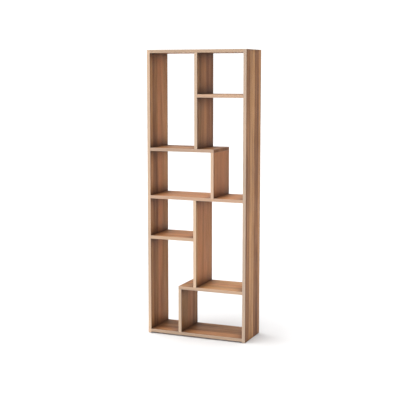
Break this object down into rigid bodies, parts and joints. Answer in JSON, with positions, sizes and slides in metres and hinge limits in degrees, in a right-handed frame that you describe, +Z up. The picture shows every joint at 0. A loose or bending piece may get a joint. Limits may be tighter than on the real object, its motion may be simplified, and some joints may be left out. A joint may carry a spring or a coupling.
{
  "type": "open bookcase",
  "caption": "Tall open-backed bookcase of solid wood boards, with staggered shelves and dividers that make compartments of different sizes.",
  "frame": {"origin": "on the floor, under the middle of the case", "axes": "+Z up; the front faces -Y; +X to the right of someone who stands in front of it"},
  "size_m": [0.732, 0.295, 2],
  "materials": {
    "board_wood": "oiled solid wood of glued staves, mid brown",
    "dowel": "plain beech",
    "cam_metal": "die-cast zinc, dull",
    "bolt_steel": "zinc-plated steel",
    "glide_plastic": "dark brown polyethylene"
  },
  "bodies": {
    "root": {"bottom_panel": "board_wood", "cam_bolts_divider_lower": "bolt_steel", "cam_bolts_divider_top": "bolt_steel", "cam_bolts_left_side": "bolt_steel", "cam_bolts_right_side": "bolt_steel", "cam_locks_bottom_panel": "cam_metal", "cam_locks_shelf_lower_left": "cam_metal", "cam_locks_shelf_lower_right": "cam_metal", "cam_locks_shelf_middle": "cam_metal", "cam_locks_shelf_upper_left": "cam_metal", "cam_locks_shelf_upper_right": "cam_metal", "cam_locks_top_panel": "cam_metal", "divider_bottom": "board_wood", "divider_lower": "board_wood", "divider_top": "board_wood", "divider_upper": "board_wood", "dowels_bottom_panel_left": "dowel", "dowels_bottom_panel_right": "dowel", "dowels_divider_bottom_foot": "dowel", "dowels_divider_bottom_head": "dowel", "dowels_divider_lower_foot": "dowel", "dowels_divider_lower_head": "dowel", "dowels_divider_top_foot": "dowel", "dowels_divider_top_head": "dowel", "dowels_divider_upper_foot": "dowel", "dowels_divider_upper_head": "dowel", "dowels_shelf_lower_left_left": "dowel", "dowels_shelf_lower_left_right": "dowel", "dowels_shelf_lower_right_right": "dowel", "dowels_shelf_middle_left": "dowel", "dowels_shelf_middle_right": "dowel", "dowels_shelf_upper_left_left": "dowel", "dowels_shelf_upper_right_left": "dowel", "dowels_shelf_upper_right_right": "dowel", "dowels_top_panel_left": "dowel", "dowels_top_panel_right": "dowel", "glides_left_side": "glide_plastic", "glides_right_side": "glide_plastic", "left_side": "board_wood", "right_side": "board_wood", "shelf_lower_left": "board_wood", "shelf_lower_right": "board_wood", "shelf_middle": "board_wood", "shelf_upper_left": "board_wood", "shelf_upper_right": "board_wood", "top_panel": "board_wood"}
  },
  "joints": []
}
